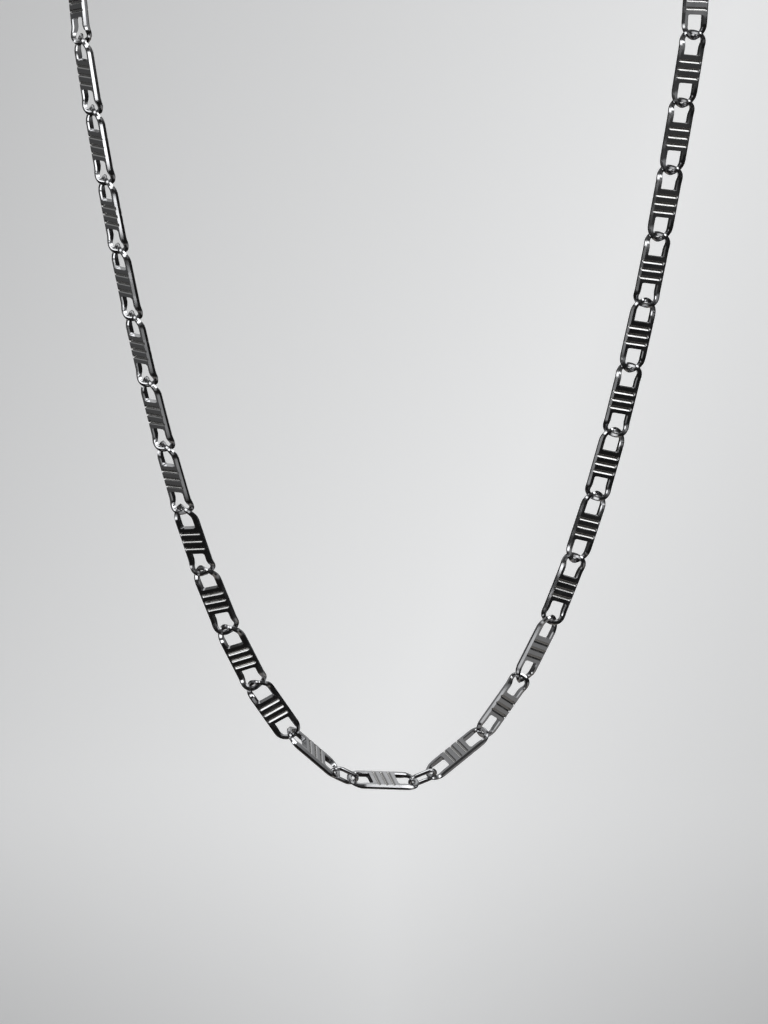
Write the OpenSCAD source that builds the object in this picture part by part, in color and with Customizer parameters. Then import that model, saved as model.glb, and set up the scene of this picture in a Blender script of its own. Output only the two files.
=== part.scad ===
// Rail link chain necklace, millimetres, Z up, front towards -Y, origin at the nape
// where the loop rests. Flat rail links with slotted plates interlock one through the
// next. The front centre link is joined by two small rings, the clasp by two more.

/* [Rail links] */
// Number of rail links, odd, so that one is the front centre
rail_count = 41; // [37:2:45]
// Length of a rail link over its ends
rail_len = 13.5; // [13.3:0.05:13.8]
// Width of a rail link
rail_w = 4.7; // [4.5:0.1:5]
// Width of the bar that runs round a rail link
bar_w = 0.95; // [0.85:0.05:1]
// Thickness of a rail link, front to back
rail_t = 1.05; // [0.9:0.05:1.15]
// Length of the plate across the middle of a rail link
plate_len = 4.8; // [4.6:0.1:5.4]
// Radius of the corners where the plate meets the bar
corner_r = 0.45; // [0.2:0.05:0.6]
// Play left where one link passes through the next
link_play = 0.2; // [0.2:0.01:0.3]
// Width of the bar round a rail link's end loops
loop_w = 0.78; // [0.74:0.01:0.82]
// Thickness of the bar round a rail link's end loops
loop_t = 0.7; // [0.65:0.01:0.72]
// Angle by which the two end loops that pass through each other lean apart
loop_cross = 46; // [46:1:50]

/* [Slots] */
// Number of slots across each face of a plate
slot_count = 3; // [1:1:3]
// Length of a slot
slot_len = 4.2; // [2.8:0.1:4.3]
// Width of a slot
slot_w = 0.7; // [0.4:0.02:0.7]
// Depth of a slot
slot_depth = 0.2; // [0.1:0.02:0.4]
// Distance from one slot to the next
slot_pitch = 1.4; // [1:0.02:1.44]

/* [Rings and clasp] */
// Outer length of a small ring
ring_len = 5.6; // [5.4:0.1:6]
// Outer width of a small ring
ring_w = 3.2; // [3.2:0.1:3.6]
// Wire of a small ring
ring_wire = 0.75; // [0.65:0.05:0.75]
// Play left where a small ring passes through a rail link
ring_play = 0.4; // [0.4:0.01:0.5]
// Play left where an end ring passes through an eye of the clasp
eye_play = 0.5; // [0.45:0.01:0.6]
// Width of the clasp
clasp_w = 4.4; // [4:0.1:5]
// Thickness of the clasp's body
clasp_t = 1.8; // [1.6:0.1:2.2]
// Thickness of the clasp's eyes
clasp_eye_t = 0.8; // [0.75:0.05:0.85]
// How much narrower the clasp's body is than its eyes
clasp_inset = 0.4; // [0.2:0.1:0.8]
// How far the clasp's body reaches over both eyes' rims, in all
clasp_lap = 1.2; // [0.8:0.1:1.4]
// Span of the clasp between the two end rings
clasp_span = 12; // [11:0.5:14]

/* [Hanging shape] */
// How wide the front hangs
spread = 22.9; // [21:0.1:25]
// How fast the front rises from its lowest link
sag = 30; // [27:0.5:33]
// Half width where the strands turn back round the neck
shoulder_w = 54; // [50:1:58]
// Distance from the front of the loop back to the nape
neck_depth = 56; // [50:1:62]
// Rise from the shoulders to the nape
nape_rise = 40; // [30:1:50]
// Length over which a strand turns back at the shoulder
shoulder_pull = 50; // [40:1:60]
// Length over which a strand straightens at the nape
nape_pull = 30; // [25:1:35]
// How far the front centre link hangs to one side of the lowest place
centre_shift = -3; // [-4:0.5:0]

/* [Hidden] */
// Turn of the links about their own length, away from facing straight outward
STEP = 0;
LEFT = 1;
RIGHT = 2;
TURNS = [
    [0, -75, -75],
    [1, -90, -90],
    [2, -20, -15],
    [3, -15, -25],
    [4, -15, -45],
    [6, 5, -60],
    [8, 9, -63],
    [13, 9, -65],
    [20, 0, 0]
];
// How far behind the front the upright line lies that the links face straight away from
facing_depth = 25;
// Steps from the centre, on the right strand, after which the loops cross the other way
REVERSED_RIGHT = [3, 5, 6, 8];
// Turn of a small ring past square to the links that it joins
ring_turn = 15;
// How much more widely the loops cross for each degree that the chain bends between them
bend_cross = 0.6;
// How far before the bend of a loop its bar starts to lean, thin and narrow
lean_run = 0.6;
// How far either side of the middle a loop's bar crosses over; beyond, it stands off evenly
cross_reach = 1.2;
// How much thinner the plate is than the bar, so that their faces don't coincide
plate_step = 0.04;

side_rails = (rail_count - 1) / 2;
rail_play_overlap = 2 * loop_w + link_play;
ring_overlap = loop_w + ring_wire + ring_play;
end_overlap = ring_wire + clasp_eye_t + eye_play;
bar_r = (rail_w - bar_w) / 2;
loop_z = (rail_len - rail_w) / 2;
lean_from = loop_z - lean_run;
lean_to = rail_len / 2 - rail_play_overlap / 2;
// The bar's six-sided section, as offsets outward and across: flat faces, bevelled sides
bar_flat = bar_w / 4;
BAR_SECTION = [
    [bar_flat, -rail_t / 2],
    [bar_w / 2, 0],
    [bar_flat, rail_t / 2],
    [-bar_flat, rail_t / 2],
    [-bar_w / 2, 0],
    [-bar_flat, -rail_t / 2]
];
sides = len(BAR_SECTION);
loop_steps = 8;
// The plate's sides are buried in the bar
plate_t = rail_t - plate_step;
plate_w = rail_w - bar_w;
hole_w = rail_w - 2 * bar_w;
round_fn = 48;
steel = [0.62, 0.62, 0.63];
bright = [0.78, 0.78, 0.8];

function unit(v) = v / norm(v);
function across(v, axis) = unit(v - (v * axis) * axis);
function turned(v, axis, a) =
    v * cos(a) + cross(axis, v) * sin(a) + axis * (axis * v) * (1 - cos(a));
function angle_about(axis, a, b) = atan2(cross(a, b) * axis, a * b);
function cosh(x) = (exp(x) + exp(-x)) / 2;
function sinh(x) = (exp(x) - exp(-x)) / 2;

// The hanging shape: u runs from -2 at the nape, over -1 at the left shoulder and 0 at
// the lowest place, to 1 at the right shoulder and 2 at the nape again
function front_point(x) = [x, 0, sag * (cosh(x / spread) - 1)];
shoulder = front_point(shoulder_w);
shoulder_way = unit([1, 0, sag / spread * sinh(shoulder_w / spread)]);
nape = [0, neck_depth, shoulder[2] + nape_rise];
NECK = [
    shoulder,
    shoulder + shoulder_pull * shoulder_way,
    nape + [nape_pull, 0, 0],
    nape
];
function neck_point(t) =
    NECK[0] * pow(1 - t, 3)
    + NECK[1] * 3 * pow(1 - t, 2) * t
    + NECK[2] * 3 * (1 - t) * pow(t, 2)
    + NECK[3] * pow(t, 3);
function half_point(u) = u < 1 ? front_point(u * shoulder_w) : neck_point(u - 1);
function shape_point(u) =
    let (p = half_point(abs(u)))
    [sign(u) * p[0], p[1], p[2]];
function sum(list, i = 0) = i == len(list) ? 0 : list[i] + sum(list, i + 1);
shape_steps = 240;
shape_len = 2 * sum([
    for (i = [1 : shape_steps])
    norm(half_point(2 * i / shape_steps) - half_point(2 * (i - 1) / shape_steps))
]);

// The pieces outward from the centre link on either side: their reach from joint to
// joint, and how far inside the piece's first end that joint lies
REACH = 0;
INSET = 1;
ring_reach = ring_len - ring_overlap;
rail_reach = rail_len - rail_play_overlap;
first_reach = rail_len - (ring_overlap + rail_play_overlap) / 2;
end_ring_reach = ring_len - (ring_overlap + end_overlap) / 2;
SIDE = [
    [ring_reach, ring_overlap / 2],
    [first_reach, ring_overlap / 2],
    for (i = [2 : side_rails - 1]) [rail_reach, rail_play_overlap / 2],
    [first_reach, rail_play_overlap / 2],
    [end_ring_reach, ring_overlap / 2]
];
pieces = len(SIDE);
centre_reach = rail_len - ring_overlap;
side_len = sum([for (s = SIDE) s[REACH]]);
chain_len = centre_reach + 2 * side_len + clasp_span;

// The shape is scaled so that the chain closes, and the nape is brought to the origin,
// with the clasp's inner face on it
shape_scale = chain_len / shape_len;
seat = [0, clasp_t / 2, 0];
function drape(u) = shape_scale * (shape_point(u) - nape) + seat;

// Places along the shape, found by halving the stretch that holds them
search_steps = 30;
widest_step = 0.35;
function next_u(u, reach, way, near, far, n = search_steps) =
    let (mid = (near + far) / 2)
    n == 0 ? mid
    : norm(drape(mid) - drape(u)) < reach ? next_u(u, reach, way, mid, far, n - 1)
    : next_u(u, reach, way, near, mid, n - 1);
function centre_half(c, near, far, n = search_steps) =
    let (mid = (near + far) / 2)
    n == 0 ? mid
    : norm(drape(c + mid) - drape(c - mid)) < centre_reach
        ? centre_half(c, mid, far, n - 1)
        : centre_half(c, near, mid, n - 1);
function walk(list, way) =
    let (i = len(list) - 1, u = list[i])
    i == pieces ? list
    : walk(concat(list, [next_u(u, SIDE[i][REACH], way, u, u + way * widest_step)]), way);
centre_u = centre_shift / shoulder_w;
centre_span = centre_half(centre_u, 0, widest_step);
LEFT_U = walk([centre_u - centre_span], -1);
RIGHT_U = walk([centre_u + centre_span], 1);

// Joints and pieces in order from the left end ring, by way of the front, to the right
JOINTS = concat(
    [for (i = [pieces : -1 : 0]) drape(LEFT_U[i])],
    [for (i = [0 : pieces]) drape(RIGHT_U[i])]
);
last = 2 * pieces;
centre = pieces;
function is_ring(i) = i == 0 || i == last || abs(i - centre) == 1;
function side_of(i) = i < centre ? LEFT : RIGHT;
function steps_from_centre(i) = is_ring(i) ? 0 : max(0, abs(i - centre) - 1);
function along(i) = unit(JOINTS[i + 1] - JOINTS[i]);
function first_inset(i) =
    i == centre ? ring_overlap / 2
    : i > centre ? SIDE[i - centre - 1][INSET]
    : piece_len(i) - SIDE[centre - 1 - i][INSET] - SIDE[centre - 1 - i][REACH];
function piece_len(i) = is_ring(i) ? ring_len : rail_len;
function middle(i) = JOINTS[i] + along(i) * (piece_len(i) / 2 - first_inset(i));
function outward(i) =
    let (m = middle(i) - seat + [0, (neck_depth - facing_depth) * shape_scale, 0])
    across([m[0], m[1], 0], along(i));
function turn_of(i) =
    lookup(steps_from_centre(i), [for (row = TURNS) [row[STEP], row[side_of(i)]]]);
function rail_facing(i) = turned(outward(i), along(i), turn_of(i));
function ring_facing(i) =
    let (
        before = i == 0 ? rail_facing(1) : rail_facing(i - 1),
        after = i == last ? rail_facing(last - 1) : rail_facing(i + 1)
    )
    turned(across(before + after, along(i)), along(i), 90 + ring_turn);
function facing(i) = is_ring(i) ? ring_facing(i) : rail_facing(i);

// Where two rails meet, their end loops lean out of the links' planes and cross
function turn_between(i) =
    let (way = unit(along(i) + along(i + 1)))
    angle_about(way, across(facing(i), way), across(facing(i + 1), way));
function bend_between(i) = acos(min(1, along(i) * along(i + 1)));
function crossing(i) =
    let (
        turn = turn_between(i),
        reversed = i > centre && len(search(i - centre - 1, REVERSED_RIGHT)) > 0,
        cross = loop_cross + bend_cross * bend_between(i)
    )
    abs(turn) > cross ? turn : reversed ? -cross : cross;
function end_lean(i) =
    is_ring(i) || is_ring(i + 1) ? 0
    : (turn_between(i) - crossing(i)) / 2;

// Stations round the bar's centre line, as [x, z, outward x, outward z]
function loop_station(way, a) =
    [bar_r * cos(a), way * (loop_z + bar_r * sin(a)), cos(a), way * sin(a)];
ARM_Z = [lean_from, plate_len / 2, -plate_len / 2, -lean_from];
STATIONS = [
    for (k = [0 : loop_steps]) loop_station(1, 180 * k / loop_steps),
    for (z = ARM_Z) [-bar_r, z, -1, 0],
    for (k = [loop_steps : -1 : 0]) loop_station(-1, 180 * k / loop_steps),
    for (k = [3 : -1 : 0]) [bar_r, ARM_Z[k], 1, 0]
];
function loop_share(z) = min(1, max(0, (abs(z) - lean_from) / (lean_to - lean_from)));
function stand_off(x) =
    let (u = min(1, max(-1, x / cross_reach)))
    cross_reach * (3 * u - pow(u, 3)) / 2;
function bar_point(s, c, low, high) =
    let (
        share = loop_share(s[1]),
        thin = 1 - share * (1 - loop_t / rail_t),
        narrow = 1 - share * (1 - loop_w / bar_w),
        out = bar_w / 2 - (bar_w / 2 - c[0]) * narrow,
        x = s[0] + out * s[2],
        z = s[1] + out * s[3]
    )
    [x, c[1] * thin + stand_off(x) * share * tan(z > 0 ? high : low), z];

// One rail link about its own centre: z along it, -y out of its face
module rail_bar(low, high) {
    stations = len(STATIONS);
    polyhedron(
        points = [for (s = STATIONS) for (c = BAR_SECTION) bar_point(s, c, low, high)],
        faces = [
            for (i = [0 : stations - 1])
            for (k = [0 : sides - 1])
            let (
                n = (i + 1) % stations,
                a = i * sides + k,
                b = i * sides + (k + 1) % sides,
                c = n * sides + (k + 1) % sides,
                d = n * sides + k
            )
            each [[a, c, b], [a, d, c]]
        ]
    );
}

module slot() {
    rotate([90, 0, 0])
    linear_extrude(slot_depth * 2, center = true) {
        square([slot_len - slot_w, slot_w], center = true);
        for (way = [-1, 1])
        translate([way * (slot_len - slot_w) / 2, 0])
        circle(d = slot_w, $fn = round_fn);
    }
}

// The plate's outline, its corners filled out to the bar, and the plate itself
module hole_end() {
    square([hole_w - 2 * corner_r, 4 * corner_r], center = true);
    square([hole_w, 2 * corner_r], center = true);
    for (x = [-1, 1])
    for (z = [-1, 1])
    translate([x * (hole_w / 2 - corner_r), z * corner_r])
    circle(r = corner_r, $fn = round_fn);
}

module plate() {
    rotate([90, 0, 0])
    linear_extrude(plate_t, center = true)
    difference() {
        square([plate_w, plate_len + 2 * corner_r], center = true);
        for (way = [-1, 1])
        translate([0, way * (plate_len / 2 + 2 * corner_r)])
        hole_end();
    }
}

module rail_link(low, high) {
    color(steel)
    difference() {
        union() {
            rail_bar(low, high);
            plate();
        }
        for (face = [-1, 1])
        for (k = [0 : slot_count - 1])
        translate([0, face * plate_t / 2, (k - (slot_count - 1) / 2) * slot_pitch])
        slot();
    }
}

// A small oval ring of round wire, its length along z
module small_ring() {
    r = (ring_w - ring_wire) / 2;
    straight = ring_len - ring_w;
    color(bright) {
        for (way = [0, 180])
        rotate([90, way, 0])
        translate([0, straight / 2, 0])
        rotate_extrude(angle = 180, $fn = round_fn)
        translate([r, 0])
        circle(d = ring_wire, $fn = round_fn);
        for (way = [-1, 1])
        translate([way * r, 0, 0])
        cylinder(h = straight, d = ring_wire, center = true, $fn = round_fn);
    }
}

// The plain clasp: a round-ended plate with an eye at each end and a thicker body
module plain_clasp() {
    span = norm(JOINTS[0] - JOINTS[last + 1]);
    length = span + end_overlap;
    eye_z = (length - clasp_w) / 2;
    eye_hole = clasp_w - 2 * clasp_eye_t;
    body_len = 2 * eye_z - clasp_w + clasp_lap;
    color(bright) {
        difference() {
            rotate([90, 0, 0])
            linear_extrude(clasp_eye_t, center = true) {
                square([clasp_w, 2 * eye_z], center = true);
                for (way = [-1, 1])
                translate([0, way * eye_z])
                circle(d = clasp_w, $fn = round_fn);
            }
            for (way = [-1, 1])
            translate([0, 0, way * eye_z])
            rotate([90, 0, 0])
            cylinder(h = clasp_t, d = eye_hole, center = true, $fn = round_fn);
        }
        cube([clasp_w - clasp_inset, clasp_t, body_len], center = true);
    }
}

// Sets a piece at a place, its z along the chain and its -y out of its face
module placed(at, way, face) {
    side = cross(-face, way);
    multmatrix([
        [side[0], -face[0], way[0], at[0]],
        [side[1], -face[1], way[1], at[1]],
        [side[2], -face[2], way[2], at[2]]
    ])
    children();
}

module rail_link_node(i) {
    placed(middle(i), along(i), facing(i))
    rail_link(-end_lean(i - 1), end_lean(i));
}

module ring_node(i) {
    placed(middle(i), along(i), facing(i))
    small_ring();
}

module clasp() {
    way = unit(JOINTS[0] - JOINTS[last + 1]);
    at = (JOINTS[0] + JOINTS[last + 1]) / 2;
    placed(at, way, across([0, 1, 0], way))
    plain_clasp();
}

// Node names: the rails are numbered round the loop from the left end to the right
RAIL_PIECES = [for (i = [0 : last]) if (!is_ring(i)) i];
RING_NAMES = ["end_ring_left", "centre_ring_left", "centre_ring_right", "end_ring_right"];
RING_PIECES = [0, centre - 1, centre + 1, last];
function rail_name(k) = str("rail_link_", k < 9 ? "0" : "", k + 1);

for (k = [0 : rail_count - 1])
    rail_link_node(RAIL_PIECES[k]);
for (k = [0 : len(RING_NAMES) - 1])
    ring_node(RING_PIECES[k]);
clasp();
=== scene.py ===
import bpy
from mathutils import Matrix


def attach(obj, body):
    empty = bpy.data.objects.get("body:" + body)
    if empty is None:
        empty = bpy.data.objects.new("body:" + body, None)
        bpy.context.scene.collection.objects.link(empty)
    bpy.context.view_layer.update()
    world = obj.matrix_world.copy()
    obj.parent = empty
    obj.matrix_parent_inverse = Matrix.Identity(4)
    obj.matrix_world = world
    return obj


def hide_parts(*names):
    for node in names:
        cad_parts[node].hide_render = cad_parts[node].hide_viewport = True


bl_info = {
    "name": "Rail link chain",
    "version": (1, 0, 0),
    "blender": (4, 5, 0),
    "location": "View3D > Sidebar > Rail chain",
    "description": "A hanging chain of slotted rail links in polished steel",
    "category": "Object",
}

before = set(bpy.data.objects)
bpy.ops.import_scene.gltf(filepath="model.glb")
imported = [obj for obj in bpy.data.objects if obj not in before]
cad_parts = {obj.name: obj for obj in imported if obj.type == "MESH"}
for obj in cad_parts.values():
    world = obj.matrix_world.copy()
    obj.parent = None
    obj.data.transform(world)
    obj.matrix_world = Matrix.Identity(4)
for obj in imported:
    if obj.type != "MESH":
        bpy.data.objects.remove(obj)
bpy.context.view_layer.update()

import math

import bmesh
import bpy
from mathutils import Matrix, Vector

MM = 0.001
RAIL_NODES = sorted(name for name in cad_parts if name.startswith("rail_link_"))
RING_NODES = ["end_ring_left", "centre_ring_left", "centre_ring_right", "end_ring_right"]

# Turn of the links about their own length, by steps from the centre
STEP, LEFT, RIGHT = 0, 1, 2
TURNS = [
    [0, -75, -75],
    [1, -90, -90],
    [2, -20, -15],
    [3, -15, -25],
    [4, -15, -45],
    [6, 5, -60],
    [8, 9, -63],
    [13, 9, -65],
    [20, 0, 0],
]
# Steps on the right strand after which the loops cross the other way
REVERSED_RIGHT = [3, 5, 6, 8]
# How far the slots sit to one side on the links that show, in mm, by link number
SLOT_SHIFTS = {
    9: 0.12,
    10: 0.05,
    11: -0.1,
    12: 0.08,
    13: -0.05,
    19: 0.1,
    20: -0.12,
    21: 0.05,
    22: -0.1,
    23: -0.05,
    24: 0.1,
    25: -0.05,
    26: -0.05,
    27: -0.1,
    28: -0.2,
    29: -0.25,
    30: -0.22,
    31: -0.1,
    32: 0.05,
    33: -0.08,
}


def length(name, mm, description):
    return bpy.props.FloatProperty(
        name=name, description=description, default=mm * MM, unit="LENGTH", precision=5
    )


def share(name, default, description):
    return bpy.props.FloatProperty(
        name=name, description=description, default=default, subtype="FACTOR", min=0, max=1
    )


def colour(name, default, description):
    return bpy.props.FloatVectorProperty(
        name=name, description=description, default=default, subtype="COLOR", min=0, max=1
    )


class RailLinkSizes(bpy.types.PropertyGroup):
    rail_len: length("Link length", 13.5, "Length of a rail link over its ends")
    rail_w: length("Link width", 4.7, "Width of a rail link")
    bar_w: length("Bar width", 0.95, "Width of the bar that runs round a link")
    rail_t: length("Link thickness", 1.05, "Thickness of a link, front to back")
    loop_w: length("Loop bar width", 0.78, "Width of the bar round the end loops")
    loop_t: length("Loop thickness", 0.7, "Thickness of the bar round the end loops")
    bevel: length("Bevel", 0.32, "Width of the bevel along the bar's outer edges")
    inner_bevel: length("Inner bevel", 0.16, "Width of the bevel along the bar's inner edges")
    plate_len: length("Plate length", 4.8, "Length of the plate across a link's middle")
    slot_len: length("Slot length", 4.2, "Length of a slot")
    slot_w: length("Slot width", 0.7, "Width of a slot")
    slot_depth: length("Slot depth", 0.2, "Depth of a slot")
    slot_pitch: length("Slot pitch", 1.4, "Distance from one slot to the next")
    slot_count: bpy.props.IntProperty(
        name="Slots", description="Number of slots on each face of a plate", default=3, min=1
    )
    corner_r: length("Corner radius", 0.45, "Radius of the plate's corners at the bar")
    link_play: length("Play", 0.2, "Play left where one link passes through the next")
    lean_run: length("Lean run", 0.6, "How far before its bend a loop starts to lean")
    cross_reach: length("Cross reach", 1.2, "Half width within which a loop crosses over")


class RingSizes(bpy.types.PropertyGroup):
    ring_len: length("Ring length", 5.6, "Outer length of a small ring")
    ring_w: length("Ring width", 3.2, "Outer width of a small ring")
    ring_wire: length("Ring wire", 0.75, "Wire of a small ring")
    ring_play: length("Ring play", 0.4, "Play left where a ring passes through a link")
    clasp_eye_t: length("Clasp eye", 0.8, "Thickness of the clasp's eyes")
    clasp_t: length("Clasp thickness", 1.8, "Thickness of the clasp's body")
    clasp_play: length("Clasp play", 0.5, "Play left where a ring passes through an eye")
    clasp_span: length("Clasp span", 12, "Span of the clasp between the two end rings")
    clasp_round: length("Clasp rounding", 0.16, "Rounding of the clasp's edges")


class HangingShape(bpy.types.PropertyGroup):
    spread: length("Spread", 22.9, "How wide the front hangs")
    sag: length("Sag", 30, "How fast the front rises from its lowest link")
    shoulder_w: length("Shoulder", 54, "Half width where the strands turn back")
    neck_depth: length("Neck depth", 56, "Distance from the front back to the nape")
    nape_rise: length("Nape rise", 40, "Rise from the shoulders to the nape")
    shoulder_pull: length("Shoulder pull", 50, "Length over which a strand turns back")
    nape_pull: length("Nape pull", 30, "Length over which a strand straightens")
    centre_shift: length("Centre shift", -3, "Sideways place of the front centre link")
    facing_depth: length("Facing depth", 25, "How far back the links' facing line lies")


class SteelFinish(bpy.types.PropertyGroup):
    steel: colour("Steel", (0.62, 0.62, 0.63), "Colour of the polished steel")
    slot_tone: colour("Slot tone", (0.66, 0.65, 0.63), "Colour of the dull slot floors")
    polish: share("Roughness", 0.08, "Roughness of the polished faces")
    haze: share("Haze", 0.14, "Extra roughness where the polish is worn")
    scratch: share("Scratches", 0.12, "Strength of the fine scratches")
    paper: colour("Floor", (0.92, 0.92, 0.92), "Colour of the pale floor")


SIZES = {
    "links": RailLinkSizes,
    "rings": RingSizes,
    "shape": HangingShape,
    "finish": SteelFinish,
}


def chosen(group):
    return getattr(bpy.context.scene, "rail_chain_" + group)


# The hanging chain's places


def across(v, axis):
    return (v - v.dot(axis) * axis).normalized()


def turned(v, axis, degrees):
    return Matrix.Rotation(math.radians(degrees), 3, axis) @ v


def angle_about(axis, a, b):
    return math.degrees(math.atan2(a.cross(b).dot(axis), a.dot(b)))


def halved(test, near, far, steps=30):
    for _ in range(steps):
        middle = (near + far) / 2
        if test(middle):
            near = middle
        else:
            far = middle
    return (near + far) / 2


def from_rows(rows, value, column):
    for low, high in zip(rows, rows[1:]):
        if low[STEP] <= value <= high[STEP]:
            part = (value - low[STEP]) / (high[STEP] - low[STEP])
            return low[column] + part * (high[column] - low[column])
    return rows[-1][column]


class HangingChain:
    """The places, directions and loop leans of all pieces, from the left end ring round."""

    WIDEST_STEP = 0.35
    SHAPE_STEPS = 240
    LOOP_CROSS = 46
    BEND_CROSS = 0.6
    RING_TURN = 15

    def __init__(self):
        self.links = chosen("links")
        self.rings = chosen("rings")
        self.shape = chosen("shape")
        links, rings, shape = self.links, self.rings, self.shape
        self.rail_overlap = 2 * links.loop_w + links.link_play
        self.ring_overlap = links.loop_w + rings.ring_wire + rings.ring_play
        self.end_overlap = rings.ring_wire + rings.clasp_eye_t + rings.clasp_play
        shoulder = self.front_point(shape.shoulder_w)
        slope = shape.sag / shape.spread * math.sinh(shape.shoulder_w / shape.spread)
        way = Vector((1, 0, slope)).normalized()
        self.nape = Vector((0, shape.neck_depth, shoulder.z + shape.nape_rise))
        self.neck = [
            shoulder,
            shoulder + shape.shoulder_pull * way,
            self.nape + Vector((shape.nape_pull, 0, 0)),
            self.nape,
        ]
        self.side = self.side_rows()
        self.count = len(self.side)
        self.centre_reach = links.rail_len - self.ring_overlap
        side_len = sum(reach for reach, _ in self.side)
        chain_len = self.centre_reach + 2 * side_len + rings.clasp_span
        self.scale = chain_len / self.shape_len()
        self.seat = Vector((0, rings.clasp_t / 2, 0))
        self.joints = self.walk_joints()
        self.centre = self.count
        self.last = 2 * self.count

    def side_rows(self):
        """Reach and inset of the pieces outward from the centre link."""
        links, rings = self.links, self.rings
        first = links.rail_len - (self.ring_overlap + self.rail_overlap) / 2
        inner = (len(RAIL_NODES) - 1) // 2 - 2
        return [
            (rings.ring_len - self.ring_overlap, self.ring_overlap / 2),
            (first, self.ring_overlap / 2),
            *[(links.rail_len - self.rail_overlap, self.rail_overlap / 2)] * inner,
            (first, self.rail_overlap / 2),
            (rings.ring_len - (self.ring_overlap + self.end_overlap) / 2, self.ring_overlap / 2),
        ]

    def front_point(self, x):
        shape = self.shape
        return Vector((x, 0, shape.sag * (math.cosh(x / shape.spread) - 1)))

    def half_point(self, u):
        if u < 1:
            return self.front_point(u * self.shape.shoulder_w)
        t = u - 1
        a, b, c, d = self.neck
        return a * (1 - t) ** 3 + 3 * b * (1 - t) ** 2 * t + 3 * c * (1 - t) * t**2 + d * t**3

    def shape_len(self):
        points = [self.half_point(2 * i / self.SHAPE_STEPS) for i in range(self.SHAPE_STEPS + 1)]
        return 2 * sum((b - a).length for a, b in zip(points, points[1:]))

    def set_place(self, point):
        """A place measured from the lowest place of the shape, in the frame."""
        return self.scale * (point - self.nape) + self.seat

    def drape(self, u):
        point = self.half_point(abs(u))
        if u < 0:
            point.x = -point.x
        return self.set_place(point)

    def next_u(self, u, reach, way):
        start = self.drape(u)
        far = u + way * self.WIDEST_STEP
        return halved(lambda v: (self.drape(v) - start).length < reach, u, far)

    def walk_joints(self):
        centre_u = self.shape.centre_shift / self.shape.shoulder_w

        def too_short(v):
            gap = self.drape(centre_u + v) - self.drape(centre_u - v)
            return gap.length < self.centre_reach

        half = halved(too_short, 0, self.WIDEST_STEP)
        strands = {}
        for way in (-1, 1):
            places = [centre_u + way * half]
            for reach, _ in self.side:
                places.append(self.next_u(places[-1], reach, way))
            strands[way] = [self.drape(u) for u in places]
        return strands[-1][::-1] + strands[1]

    def is_ring(self, i):
        return i in (0, self.last) or abs(i - self.centre) == 1

    def along(self, i):
        return (self.joints[i + 1] - self.joints[i]).normalized()

    def piece_len(self, i):
        return self.rings.ring_len if self.is_ring(i) else self.links.rail_len

    def first_inset(self, i):
        if i == self.centre:
            return self.ring_overlap / 2
        if i > self.centre:
            return self.side[i - self.centre - 1][1]
        reach, inset = self.side[self.centre - 1 - i]
        return self.piece_len(i) - inset - reach

    def middle(self, i):
        return self.joints[i] + self.along(i) * (self.piece_len(i) / 2 - self.first_inset(i))

    def outward(self, i):
        shape = self.shape
        back = (shape.neck_depth - shape.facing_depth) * self.scale
        m = self.middle(i) - self.seat + Vector((0, back, 0))
        return across(Vector((m.x, m.y, 0)), self.along(i))

    def rail_facing(self, i):
        steps = max(0, abs(i - self.centre) - 1)
        turn = from_rows(TURNS, steps, LEFT if i < self.centre else RIGHT)
        return turned(self.outward(i), self.along(i), turn)

    def ring_facing(self, i):
        before = self.rail_facing(1 if i == 0 else i - 1)
        after = self.rail_facing(self.last - 1 if i == self.last else i + 1)
        way = self.along(i)
        return turned(across(before + after, way), way, 90 + self.RING_TURN)

    def facing(self, i):
        return self.ring_facing(i) if self.is_ring(i) else self.rail_facing(i)

    def end_lean(self, i):
        """How far the upper loop of piece i leans, in degrees, towards the next piece."""
        if self.is_ring(i) or self.is_ring(i + 1):
            return 0
        way = (self.along(i) + self.along(i + 1)).normalized()
        turn = angle_about(way, across(self.facing(i), way), across(self.facing(i + 1), way))
        bend = math.degrees(self.along(i).angle(self.along(i + 1)))
        cross = self.LOOP_CROSS + self.BEND_CROSS * bend
        if abs(turn) > cross:
            crossing = turn
        elif i - self.centre - 1 in REVERSED_RIGHT and i > self.centre:
            crossing = -cross
        else:
            crossing = cross
        return (turn - crossing) / 2

    def rails(self):
        return [i for i in range(self.last + 1) if not self.is_ring(i)]

    def small_rings(self):
        return [i for i in range(self.last + 1) if self.is_ring(i)]


# Node trees as plain sums


class Value:
    """One socket's number, on which plain arithmetic adds Math nodes."""

    def __init__(self, tree, socket):
        self.tree = tree
        self.socket = socket

    def math(self, operation, *others):
        return self.tree.math(operation, self, *others)

    def __add__(self, other):
        return self.math("ADD", other)

    __radd__ = __add__

    def __sub__(self, other):
        return self.math("SUBTRACT", other)

    def __rsub__(self, other):
        return self.tree.math("SUBTRACT", other, self)

    def __mul__(self, other):
        return self.math("MULTIPLY", other)

    __rmul__ = __mul__

    def __truediv__(self, other):
        return self.math("DIVIDE", other)

    def __rtruediv__(self, other):
        return self.tree.math("DIVIDE", other, self)

    def __neg__(self):
        return self * -1

    def over(self, limit):
        return self.math("GREATER_THAN", limit)

    def under(self, limit):
        return self.math("LESS_THAN", limit)

    def least(self, limit):
        return self.math("MAXIMUM", limit)

    def most(self, limit):
        return self.math("MINIMUM", limit)

    def clamped(self):
        return self.least(0).most(1)

    def size(self):
        return self.math("ABSOLUTE")

    def root(self):
        return self.math("SQRT")

    def whole(self):
        """The whole part of a count that rounding may have left a hair low."""
        return (self + 0.001).math("FLOOR")


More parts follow.
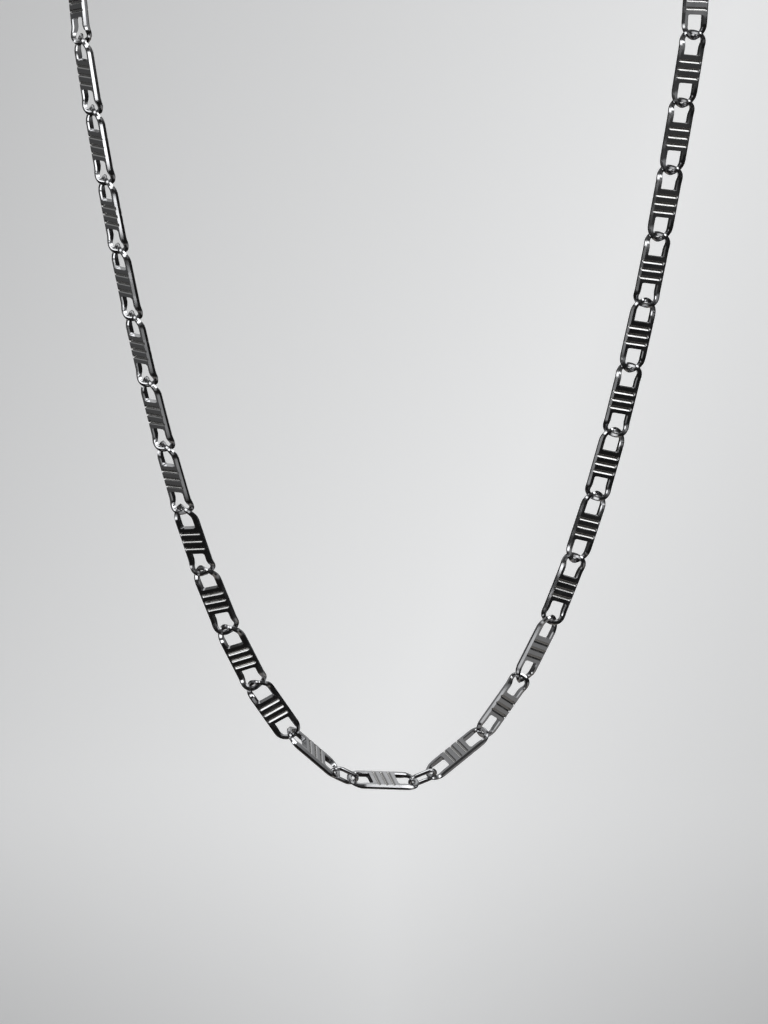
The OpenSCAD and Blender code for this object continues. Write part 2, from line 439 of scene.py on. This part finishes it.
class Tree:
    """Adds nodes to a node tree."""

    def __init__(self, tree):
        self.tree = tree

    def node(self, kind, settings=None, inputs=None):
        made = self.tree.nodes.new(kind)
        for name, value in (settings or {}).items():
            setattr(made, name, value)
        for name, value in (inputs or {}).items():
            self.feed(made.inputs[name], value)
        return made

    def feed(self, socket, value):
        if isinstance(value, Value):
            value = value.socket
        if isinstance(value, bpy.types.NodeSocket):
            self.tree.links.new(value, socket)
        else:
            socket.default_value = value

    def value(self, kind, settings=None, inputs=None, output=0):
        return Value(self, self.node(kind, settings, inputs).outputs[output])

    def math(self, operation, *values):
        return self.value("ShaderNodeMath", {"operation": operation}, dict(enumerate(values)))

    def smooth(self, value, start, end):
        return self.value(
            "ShaderNodeMapRange",
            {"interpolation_type": "SMOOTHSTEP"},
            {"Value": value, "From Min": start, "From Max": end},
        )

    def within(self, value, start, end, edge):
        """1 between two limits and 0 outside them, with soft edges."""
        off_middle = (value - (start + end) / 2).size()
        half = (end - start) / 2
        return 1 - self.smooth(off_middle, half - edge, half + edge)

    def parts(self, vector):
        """The three numbers of a vector."""
        split = self.node("ShaderNodeSeparateXYZ", None, {0: vector})
        return [Value(self, part) for part in split.outputs]

    def vector(self, operation, *values):
        return self.node(
            "ShaderNodeVectorMath", {"operation": operation}, dict(enumerate(values))
        ).outputs[0]

    def joined(self, x, y, z):
        return self.node("ShaderNodeCombineXYZ", None, {0: x, 1: y, 2: z}).outputs[0]

    def picked(self, index, values):
        """The value at a whole-number index of a short list."""
        made = self.node("GeometryNodeIndexSwitch", {"data_type": "FLOAT"})
        while len(made.index_switch_items) < len(values):
            made.index_switch_items.new()
        self.feed(made.inputs["Index"], index)
        for i, value in enumerate(values):
            self.feed(made.inputs[i + 1], value)
        return Value(self, made.outputs[0])


class MeshTree(Tree):
    """A Geometry Nodes tree with named inputs, run once for each piece that it makes."""

    def __init__(self, name):
        super().__init__(bpy.data.node_groups.new(name, "GeometryNodeTree"))
        self.entry = self.tree.nodes.new("NodeGroupInput")
        self.sockets = {}
        self.tree.interface.new_socket("Mesh", in_out="OUTPUT", socket_type="NodeSocketGeometry")

    def add_input(self, name, kind, subtype="NONE"):
        made = self.tree.interface.new_socket(
            name, in_out="INPUT", socket_type="NodeSocket" + kind
        )
        if kind == "Float":
            made.subtype = subtype
        self.sockets[name] = made.identifier
        return Value(self, self.entry.outputs[name])

    def lengths(self, *names):
        return [self.add_input(name, "Float", "DISTANCE") for name in names]

    def place(self, mesh, local):
        """Moves a mesh from its own place to the hanging chain, its y out of the back."""
        at = self.add_input("At", "Vector").socket
        way = self.add_input("Along", "Vector").socket
        back = self.add_input("Back", "Vector").socket
        side = self.vector("CROSS_PRODUCT", back, way)
        place = at
        for axis, part in zip((side, back, way), self.parts(local)):
            step = self.node(
                "ShaderNodeVectorMath", {"operation": "SCALE"}, {0: axis, "Scale": part}
            )
            place = self.vector("ADD", place, step.outputs[0])
        return self.node(
            "GeometryNodeSetPosition", None, {"Geometry": mesh, "Position": place}
        ).outputs[0]

    def grid(self, rows, columns):
        """A grid of points with their row and column numbers."""
        made = self.node(
            "GeometryNodeMeshGrid", None, {"Vertices X": rows, "Vertices Y": columns}
        )
        index = self.value("GeometryNodeInputIndex")
        row = (index / columns).whole()
        return made.outputs["Mesh"], row, index - row * columns

    def moved(self, mesh, x, y, z):
        return self.node(
            "GeometryNodeSetPosition",
            None,
            {"Geometry": mesh, "Position": self.joined(x, y, z)},
        ).outputs[0]

    def kept(self, mesh, name, value, kind="FLOAT"):
        """Keeps a value on the mesh, for its material to read."""
        return self.node(
            "GeometryNodeStoreNamedAttribute",
            {"data_type": kind, "domain": "POINT"},
            {"Geometry": mesh, "Name": name, "Value": value},
        ).outputs[0]

    def finish(self, mesh, sharp_from):
        """Closes the seams, keeps the local place, sets the piece in the chain."""
        merged = self.node(
            "GeometryNodeMergeByDistance", None, {"Geometry": mesh, "Distance": SEAM}
        ).outputs[0]
        smooth = self.node(
            "GeometryNodeSetShadeSmooth",
            {"domain": "FACE"},
            {"Geometry": merged, "Shade Smooth": True},
        ).outputs[0]
        angle = self.value("GeometryNodeInputMeshEdgeAngle")
        soft = self.node(
            "GeometryNodeSetShadeSmooth",
            {"domain": "EDGE"},
            {"Geometry": smooth, "Shade Smooth": angle.under(math.radians(sharp_from))},
        ).outputs[0]
        local = self.node("GeometryNodeInputPosition").outputs[0]
        known = self.kept(soft, "own_place", local, "FLOAT_VECTOR")
        placed = self.place(known, local)
        real = self.node("GeometryNodeRealizeInstances", None, {"Geometry": placed}).outputs[0]
        made = self.node(
            "GeometryNodeSetMaterial",
            None,
            {"Geometry": real, "Material": self.add_input("Material", "Material")},
        ).outputs[0]
        leave = self.tree.nodes.new("NodeGroupOutput")
        self.tree.links.new(made, leave.inputs[0])

    def run(self, name, values):
        """The tree's mesh as a plain object."""
        source = bpy.data.objects.new(name + "_source", bpy.data.meshes.new(name + "_source"))
        bpy.context.scene.collection.objects.link(source)
        modifier = source.modifiers.new("Build", "NODES")
        modifier.node_group = self.tree
        for label, value in values.items():
            modifier[self.sockets[label]] = value
        bpy.context.view_layer.update()
        view = bpy.context.evaluated_depsgraph_get()
        mesh = bpy.data.meshes.new_from_object(source.evaluated_get(view), depsgraph=view)
        bpy.data.objects.remove(source)
        if not mesh.polygons:
            raise RuntimeError(f"{name}: the tree made no mesh")
        mesh.name = name
        made = bpy.data.objects.new(name, mesh)
        bpy.context.scene.collection.objects.link(made)
        return made


# Points closer than this are joined
SEAM = 0.002 * MM
# Steps of the bar: round its section, round an end loop, along each arm
BAR_SIDES = 8
LOOP_STEPS = 28
ARM_STATIONS = 4
# Inside the plate the bar ends: how far in it starts to shrink, how far it pinches, how small
SUNK = 0.02 * MM
PINCH_RUN = 0.5 * MM
PINCHED = 0.3
# Rows of the plate for each slot and for its two ends, columns to each side of its middle
SLOT_ROWS = 9
END_ROWS = 4
BEVEL_STEPS = 3
SIDE_COLUMNS = 14
# Edges that turn by more than this, in degrees, stay sharp
LINK_SHARP = 28
RING_SHARP = 60


def rail_link_tree():
    """A rail link: a bevelled bar bent to a long loop, and the slotted plate across it."""
    tree = MeshTree("Rail link")
    rail_len, rail_w, bar_w, rail_t = tree.lengths(
        "Link length", "Link width", "Bar width", "Link thickness"
    )
    loop_w, loop_t, bevel, inner_bevel = tree.lengths(
        "Loop bar width", "Loop thickness", "Bevel", "Inner bevel"
    )
    plate_len, overlap, lean_run, cross_reach = tree.lengths(
        "Plate length", "Overlap", "Lean run", "Cross reach"
    )
    low = tree.add_input("Lower lean", "Float", "ANGLE")
    high = tree.add_input("Upper lean", "Float", "ANGLE")
    bar_r = (rail_w - bar_w) / 2
    loop_z = (rail_len - rail_w) / 2
    lean_from = loop_z - lean_run
    lean_to = rail_len / 2 - overlap / 2

    # The bar: stations round the loop, section points round the bar
    half_stations = LOOP_STEPS + 1 + 2 * ARM_STATIONS
    bar, station, k = tree.grid(2 * half_stations + 1, BAR_SIDES + 1)
    station = station - 2 * half_stations * station.over(2 * half_stations - 0.5)
    lower = station.over(half_stations - 0.5)
    j = station - half_stations * lower - ARM_STATIONS
    angle = (j / LOOP_STEPS).clamped() * math.pi
    past = j.math("MULTIPLY", -1).least(j - LOOP_STEPS).least(0)
    out_x = angle.math("COSINE")
    out_z = angle.math("SINE")
    enter_z = plate_len / 2 - SUNK
    pinch_z = plate_len / 2 - PINCH_RUN
    z = tree.picked(past, [loop_z + bar_r * out_z, lean_from, enter_z, pinch_z, 0])
    side = 1 - 2 * lower
    half_w = bar_w / 2
    half_t = rail_t / 2
    flat = half_w - bevel
    wall = half_t - bevel
    inner_flat = inner_bevel - half_w
    inner_wall = half_t - inner_bevel
    section = k - BAR_SIDES * k.over(BAR_SIDES - 0.5)
    radial = tree.picked(
        section, [flat, half_w, half_w, flat, inner_flat, -half_w, -half_w, inner_flat]
    )
    depth = tree.picked(
        section, [-half_t, -wall, wall, half_t, half_t, inner_wall, -inner_wall, -half_t]
    )
    sunk = tree.picked(past, [1, 1, 1, PINCHED, 0])
    bend = tree.smooth(z, lean_from, lean_to)
    thin = 1 - bend * (1 - loop_t / rail_t)
    narrow = 1 - bend * (1 - loop_w / bar_w)
    reach = (half_w - (half_w - radial) * narrow) * sunk
    x = side * (bar_r + reach) * out_x
    lean = high.math("TANGENT") * (1 - lower) + low.math("TANGENT") * lower
    past_middle = (x / cross_reach).least(-1).most(1)
    stand_off = cross_reach * past_middle * (3 - past_middle * past_middle) / 2
    y = depth * sunk * thin + stand_off * bend * lean
    bar = tree.moved(bar, x, y, side * (z + reach * out_z))

    # The plate: rows along the link gather to each slot's rim, columns close round it
    slot_len, slot_w, slot_depth, slot_pitch, slot_shift, corner_r = tree.lengths(
        "Slot length", "Slot width", "Slot depth", "Slot pitch", "Slot shift", "Corner radius"
    )
    slots = tree.add_input("Slots", "Int")
    columns = 4 * SIDE_COLUMNS
    rows = slots * SLOT_ROWS + END_ROWS
    plate, row, column = tree.grid(rows, columns + 1)
    column = column - columns * column.over(columns - 0.5)
    back = column.over(2 * SIDE_COLUMNS - 0.5)
    across_face = column - 2 * SIDE_COLUMNS * back
    right = across_face.over(SIDE_COLUMNS - 0.5)
    from_edge = across_face + right * (2 * SIDE_COLUMNS - 1 - 2 * across_face)
    from_middle = rail_w / 2 - from_edge * bevel / BEVEL_STEPS
    face = 1 - 2 * back
    x = face * (2 * right - 1) * from_middle
    slot_r = slot_w / 2
    past_spine = ((x - slot_shift).size() - (slot_len / 2 - slot_r)).least(0) / slot_r
    rounding = (1 - past_spine * past_spine).least(0).root()
    slot_row = row - END_ROWS / 2
    slot = ((slot_row + 0.5) / SLOT_ROWS).math("FLOOR").least(0).most(slots - 1)
    half_rows = (SLOT_ROWS - 1) / 2
    off_spine = (slot_row - slot * SLOT_ROWS - half_rows) / half_rows
    slot_z = (slot - (slots - 1) / 2) * slot_pitch
    first = row.under(END_ROWS / 2 - 0.5)
    last = row.over(rows - END_ROWS / 2 - 0.5)
    between = 1 - first - last
    z = between * (slot_z + slot_r * off_spine * rounding)
    hole_half = rail_w / 2 - bar_w + inner_bevel
    into_corner = (from_middle - (hole_half - corner_r)).least(0).most(corner_r)
    corner = corner_r - (corner_r * corner_r - into_corner * into_corner).root()
    corner = corner * from_middle.under(hole_half)
    z = z + (last - first) * (plate_len / 2 + corner)
    carved = between * rounding * (1 - off_spine * off_spine)
    height = (half_t - (from_middle - (rail_w / 2 - bevel)).least(0)).most(
        half_t - slot_depth * carved
    )
    cap = row.under(0.5) + row.over(rows - 1.5)
    plate = tree.moved(plate, x, -1 * face * height * (1 - cap), z)
    plate = tree.kept(plate, "groove", carved)
    both = tree.node("GeometryNodeJoinGeometry")
    for mesh in (plate, bar):
        tree.tree.links.new(mesh, both.inputs[0])
    tree.finish(both.outputs[0], LINK_SHARP)
    return tree


RING_STEPS = 16
WIRE_SIDES = 12


def small_ring_tree():
    """A small oval ring of round wire."""
    tree = MeshTree("Small ring")
    ring_len, ring_w, wire = tree.lengths("Ring length", "Ring width", "Wire")
    half_stations = RING_STEPS + 1
    ring, station, k = tree.grid(2 * half_stations + 1, WIRE_SIDES + 1)
    station = station - 2 * half_stations * station.over(2 * half_stations - 0.5)
    lower = station.over(half_stations - 0.5)
    angle = (station - half_stations * lower) * (math.pi / RING_STEPS)
    round_wire = k * (2 * math.pi / WIRE_SIDES)
    reach = (ring_w - wire) / 2 + wire / 2 * round_wire.math("COSINE")
    side = 1 - 2 * lower
    x = side * reach * angle.math("COSINE")
    z = side * ((ring_len - ring_w) / 2 + reach * angle.math("SINE"))
    ring = tree.moved(ring, x, wire / 2 * round_wire.math("SINE"), z)
    tree.finish(ring, RING_SHARP)
    return tree


# Finishes

# Scales of the marks on the steel, per metre, and the depth of the scratches
HAZE_SCALE = 420
SCRATCH_SCALE = (9000, 9000, 700)
DIRT_SCALE = 1600
SCRATCH_DEPTH = 0.004 * MM
# Noise between which the haze sets in, depth share between which a slot turns dull
HAZE_FROM, HAZE_TO = 0.4, 0.7
DULL_FROM, DULL_TO = 0.1, 0.6
DIRT_LEAST, DIRT_RANGE = 0.55, 0.5
DULL_ROUGHNESS = 0.14


def new_material(name):
    material = bpy.data.materials.new(name)
    material.use_nodes = True
    material.node_tree.nodes.clear()
    return material, Tree(material.node_tree)


def steel_material(name, grooved):
    """Polished steel: worn haze, hair scratches along the piece, dull floors in the slots."""
    finish = chosen("finish")
    material, tree = new_material(name)
    if grooved:
        own = tree.node("ShaderNodeAttribute", {"attribute_name": "own_place"})
        place = own.outputs["Vector"]
    else:
        place = tree.node("ShaderNodeTexCoord").outputs["Object"]
    haze = tree.value(
        "ShaderNodeTexNoise", None, {"Vector": place, "Scale": HAZE_SCALE, "Detail": 3}
    )
    streaks = tree.node(
        "ShaderNodeMapping", None, {"Vector": place, "Scale": SCRATCH_SCALE}
    ).outputs[0]
    scratches = tree.value(
        "ShaderNodeTexNoise", None, {"Vector": streaks, "Scale": 1, "Detail": 2}
    )
    roughness = finish.polish + finish.haze * tree.smooth(haze, HAZE_FROM, HAZE_TO)
    colours = tree.node("ShaderNodeMix", {"data_type": "RGBA"})
    groove = 0.0
    if grooved:
        groove = tree.value(
            "ShaderNodeAttribute", {"attribute_name": "groove"}, output=2
        )
        dirt = tree.value("ShaderNodeTexNoise", None, {"Vector": place, "Scale": DIRT_SCALE})
        groove = tree.smooth(groove, DULL_FROM, DULL_TO)
        groove = groove * (DIRT_LEAST + DIRT_RANGE * dirt).clamped()
        roughness = roughness + DULL_ROUGHNESS * groove
    tree.feed(colours.inputs["Factor"], groove)
    tree.feed(colours.inputs["A"], (*finish.steel, 1))
    tree.feed(colours.inputs["B"], (*finish.slot_tone, 1))
    bump = tree.node(
        "ShaderNodeBump",
        None,
        {"Strength": finish.scratch, "Distance": SCRATCH_DEPTH, "Height": scratches + haze},
    )
    shader = tree.node(
        "ShaderNodeBsdfPrincipled",
        None,
        {
            "Base Color": colours.outputs["Result"],
            "Metallic": 1,
            "Roughness": roughness,
            "Normal": bump.outputs[0],
        },
    )
    tree.node("ShaderNodeOutputMaterial", None, {"Surface": shader.outputs[0]})
    return material


def paper_material(foot):
    """The pale floor: matt paper with a painted pool of light, its colour brightest along a line
    that runs away from the viewer, and a painted glow.
    """
    finish = chosen("finish")
    material, tree = new_material("pale_paper_painted_light")
    place = tree.node("ShaderNodeTexCoord").outputs["Object"]
    x, y, _ = tree.parts(place)
    side = math.radians(VIEW_SIDE)
    ahead = (y - foot.y) * math.cos(side) - (x - foot.x) * math.sin(side)
    ahead = ahead.least(POOL_NEAR)
    aside = (x - foot.x) * math.cos(side) + (y - foot.y) * math.sin(side)
    off_line = ((aside - POOL_SLANT * (ahead - POOL_START).least(0)) / ahead).size()
    near = 1 - tree.smooth(ahead, POOL_NEAR, POOL_START)
    # Painted light: the floor's colour is darkened away from this line and near the viewer, a
    # painted pool of light, not a lamp
    lit = (1 - POOL_FALL * off_line - POOL_NEAR_FALL * near).least(POOL_LEAST)
    colours = tree.node(
        "ShaderNodeMix",
        {"data_type": "RGBA"},
        {"Factor": lit, "A": (0, 0, 0, 1), "B": (*finish.paper, 1)},
    )
    # The floor also glows in its painted pool colour: a painted glow, no lamp
    shader = tree.node(
        "ShaderNodeBsdfPrincipled",
        None,
        {
            "Base Color": colours.outputs["Result"],
            "Roughness": 0.9,
            "Emission Color": colours.outputs["Result"],
            "Emission Strength": PAPER_PAINTED_GLOW,
        },
    )
    tree.node("ShaderNodeOutputMaterial", None, {"Surface": shader.outputs[0]})
    return material


# Pieces


def settle(piece, node):
    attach(piece, "root")
    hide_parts(node)


class RAIL_OT_links(bpy.types.Operator):
    """Makes the rail links and sets them along the hanging chain"""

    bl_idname = "rail_chain.links"
    bl_label = "Rail links"

    def execute(self, context):
        sizes = chosen("links")
        chain = HangingChain()
        tree = rail_link_tree()
        steel = steel_material("polished_steel", True)
        places = chain.rails()
        if len(places) != len(RAIL_NODES):
            raise RuntimeError("the chain and the frame differ in their number of links")
        for number, (i, node) in enumerate(zip(places, RAIL_NODES), 1):
            link = tree.run(
                node + "_steel",
                {
                    "Link length": sizes.rail_len,
                    "Link width": sizes.rail_w,
                    "Bar width": sizes.bar_w,
                    "Link thickness": sizes.rail_t,
                    "Loop bar width": sizes.loop_w,
                    "Loop thickness": sizes.loop_t,
                    "Bevel": sizes.bevel,
                    "Inner bevel": sizes.inner_bevel,
                    "Plate length": sizes.plate_len,
                    "Overlap": chain.rail_overlap,
                    "Lean run": sizes.lean_run,
                    "Cross reach": sizes.cross_reach,
                    "Lower lean": math.radians(-chain.end_lean(i - 1)),
                    "Upper lean": math.radians(chain.end_lean(i)),
                    "Slot length": sizes.slot_len,
                    "Slot width": sizes.slot_w,
                    "Slot depth": sizes.slot_depth,
                    "Slot pitch": sizes.slot_pitch,
                    "Slot shift": SLOT_SHIFTS.get(number, 0) * MM,
                    "Corner radius": sizes.corner_r,
                    "Slots": sizes.slot_count,
                    "At": chain.middle(i),
                    "Along": chain.along(i),
                    "Back": -chain.facing(i),
                    "Material": steel,
                },
            )
            settle(link, node)
        return {"FINISHED"}


class RAIL_OT_rings(bpy.types.Operator):
    """Makes the four small oval rings"""

    bl_idname = "rail_chain.rings"
    bl_label = "Small rings"

    def execute(self, context):
        sizes = chosen("rings")
        chain = HangingChain()
        tree = small_ring_tree()
        steel = steel_material("bright_steel_wire", False)
        for i, node in zip(chain.small_rings(), RING_NODES):
            ring = tree.run(
                node + "_steel",
                {
                    "Ring length": sizes.ring_len,
                    "Ring width": sizes.ring_w,
                    "Wire": sizes.ring_wire,
                    "At": chain.middle(i),
                    "Along": chain.along(i),
                    "Back": -chain.facing(i),
                    "Material": steel,
                },
            )
            settle(ring, node)
        return {"FINISHED"}


class RAIL_OT_clasp(bpy.types.Operator):
    """Rounds the edges of the plain clasp"""

    bl_idname = "rail_chain.clasp"
    bl_label = "Clasp"

    def execute(self, context):
        shell = bmesh.new()
        shell.from_mesh(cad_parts["clasp"].data)
        bmesh.ops.remove_doubles(shell, verts=shell.verts, dist=0.001 * MM)
        bmesh.ops.dissolve_limit(
            shell, angle_limit=math.radians(1), verts=shell.verts, edges=shell.edges
        )
        mesh = bpy.data.meshes.new("clasp_steel")
        shell.to_mesh(mesh)
        shell.free()
        mesh.materials.append(steel_material("clasp_steel_finish", False))
        clasp = bpy.data.objects.new("clasp_steel", mesh)
        context.scene.collection.objects.link(clasp)
        rounding = clasp.modifiers.new("Rounding", "BEVEL")
        rounding.width = chosen("rings").clasp_round
        rounding.segments = 3
        rounding.angle_limit = math.radians(40)
        mesh.shade_smooth()
        settle(clasp, "clasp")
        return {"FINISHED"}


# Stage

FLOOR_Z = -0.3
FLOOR_SIZE = 12
LOOK_AT = Vector((-2.8, 0, 50.7)) * MM
VIEW_SIDE = -21.1
VIEW_HEIGHT = 17.35
VIEW_DISTANCE = 638 * MM
LENS = 130.6
# The painted pool of light on the floor, in metres ahead of the viewer, and how fast it fades
POOL_NEAR = 0.7
POOL_START = 0.95
POOL_SLANT = 0.17
POOL_FALL = 1.7
POOL_NEAR_FALL = 0.27
POOL_LEAST = 0.62
# How strongly the floor glows in its own colour: painted light, the floor is no lamp
PAPER_PAINTED_GLOW = 0.29

# Colour of the light from below and from the panels, and the heights between which it turns
WARM_LIGHT = (1, 0.93, 0.86, 1)
COOL_LIGHT = (0.98, 0.99, 1, 1)
WARM_TO, COOL_FROM = -60, -25
# The dark room's own light, what its ceiling adds, and between which slopes
ROOM_LIGHT = 0.012
CEILING_LIGHT = 0.05
CEILING_FROM, CEILING_TO = -0.2, 0.9
BACKDROP = (0.68, 0.68, 0.68, 1)
# White panels round the chain, in degrees: from and to which angle from the front, from and
# to which height, how bright, how soft the edge
PANELS = [
    [-54, -37, -26, -8, 2.4, 3],
    [-34, -12, -34, -14, 0.3, 3],
    [-50, -34, 0, 20, 2, 3],
    [-32, -14, 2, 18, 0.7, 4],
    [-80, -45, 16, 42, 1.8, 4],
    [-78, -52, -14, 12, 0.03, 4],
    [-84, -68, -10, 8, 0.4, 4],
    [-106, -82, -10, 16, 1.6, 4],
    [-100, -55, 46, 70, 0.7, 5],
    [34, 68, 24, 54, 2.6, 5],
    [20, 50, -2, 18, 0.25, 5],
    [60, 100, 60, 84, 1.6, 4],
    [134, 176, 18, 60, 0.6, 5],
    [110, 134, -2, 22, 0.33, 5],
    [38, 85, -54, -24, 0.22, 6],
    [23, 32, -16, -5, 0.05, 3],
    [-150, -106, -42, 0, 0.07, 8],
    [-170, -120, 15, 56, 0.25, 6],
    [150, 190, -45, 0, 0.4, 6],
    [-190, -170, -45, 0, 0.4, 6],
    [-60, 60, -95, -64, 0.2, 5],
    [60, 170, -95, -58, 0.16, 6],
    [-190, 190, 74, 100, 2.2, 5],
]


class RAIL_OT_stage(bpy.types.Operator):
    """Sets the floor, the soft light and the camera"""

    bl_idname = "rail_chain.stage"
    bl_label = "Stage"

    def execute(self, context):
        self.add_floor(context)
        self.add_light_room(context)
        self.add_camera(context)
        context.scene.view_settings.view_transform = "Standard"
        return {"FINISHED"}

    def add_floor(self, context):
        shell = bmesh.new()
        bmesh.ops.create_grid(shell, x_segments=8, y_segments=8, size=FLOOR_SIZE / 2)
        bmesh.ops.translate(shell, verts=shell.verts, vec=(0, 0, FLOOR_Z))
        mesh = bpy.data.meshes.new("floor")
        shell.to_mesh(mesh)
        shell.free()
        mesh.materials.append(paper_material(self.view_point()[0]))
        floor = bpy.data.objects.new("floor", mesh)
        context.scene.collection.objects.link(floor)
        floor.visible_glossy = False

    def add_light_room(self, context):
        world = bpy.data.worlds.new("light_room")
        world.use_nodes = True
        world.node_tree.nodes.clear()
        tree = Tree(world.node_tree)
        way = tree.node("ShaderNodeTexCoord").outputs["Generated"]
        x, y, z = tree.parts(way)
        side = tree.math("ARCTAN2", x, -y) * (180 / math.pi)
        height = z.math("ARCSINE") * (180 / math.pi)
        light = ROOM_LIGHT + CEILING_LIGHT * tree.smooth(z, CEILING_FROM, CEILING_TO)
        for from_side, to_side, from_height, to_height, strength, edge in PANELS:
            panel = tree.within(side, from_side, to_side, edge)
            panel = panel * tree.within(height, from_height, to_height, edge)
            light = light + strength * panel
        tone = tree.node(
            "ShaderNodeMix",
            {"data_type": "RGBA"},
            {"Factor": tree.smooth(height, WARM_TO, COOL_FROM), "A": WARM_LIGHT, "B": COOL_LIGHT},
        )
        room = tree.node(
            "ShaderNodeBackground", None, {"Color": tone.outputs["Result"], "Strength": light}
        )
        pale = tree.node("ShaderNodeBackground", None, {"Color": BACKDROP, "Strength": 1})
        seen = tree.node("ShaderNodeLightPath").outputs["Is Camera Ray"]
        both = tree.node(
            "ShaderNodeMixShader", None, {0: seen, 1: room.outputs[0], 2: pale.outputs[0]}
        )
        tree.node("ShaderNodeOutputWorld", None, {"Surface": both.outputs[0]})
        context.scene.world = world

    def view_point(self):
        """The camera's place and the way back to it from the chain."""
        side, height = math.radians(VIEW_SIDE), math.radians(VIEW_HEIGHT)
        level = Vector((math.sin(side), -math.cos(side), 0))
        way = level * math.cos(height) + Vector((0, 0, math.sin(height)))
        return HangingChain().set_place(LOOK_AT) + VIEW_DISTANCE * way, way

    def add_camera(self, context):
        data = bpy.data.cameras.new("photo_camera")
        data.sensor_width = 36
        data.sensor_fit = "AUTO"
        data.lens = LENS
        camera = bpy.data.objects.new("photo_camera", data)
        camera.location, way = self.view_point()
        camera.rotation_euler = way.to_track_quat("Z", "Y").to_euler()
        context.scene.collection.objects.link(camera)
        context.scene.camera = camera


OPERATORS = [RAIL_OT_links, RAIL_OT_rings, RAIL_OT_clasp, RAIL_OT_stage]


class RAIL_PT_panel(bpy.types.Panel):
    """Lists the steps and the sizes of the chain"""

    bl_idname = "RAIL_PT_panel"
    bl_label = "Rail link chain"
    bl_space_type = "VIEW_3D"
    bl_region_type = "UI"
    bl_category = "Rail chain"

    def draw(self, context):
        for step in OPERATORS:
            self.layout.operator(step.bl_idname)
        for group in SIZES:
            box = self.layout.box()
            values = chosen(group)
            for name in values.bl_rna.properties.keys():
                if name not in ("rna_type", "name"):
                    box.prop(values, name)


CLASSES = [*SIZES.values(), *OPERATORS, RAIL_PT_panel]


def register():
    for made in CLASSES:
        bpy.utils.register_class(made)
    for group, kind in SIZES.items():
        setattr(bpy.types.Scene, "rail_chain_" + group, bpy.props.PointerProperty(type=kind))


def unregister():
    for group in SIZES:
        delattr(bpy.types.Scene, "rail_chain_" + group)
    for made in reversed(CLASSES):
        bpy.utils.unregister_class(made)


def main():
    register()
    bpy.ops.rail_chain.links()
    bpy.ops.rail_chain.rings()
    bpy.ops.rail_chain.clasp()
    bpy.ops.rail_chain.stage()


if __name__ == "__main__":
    main()
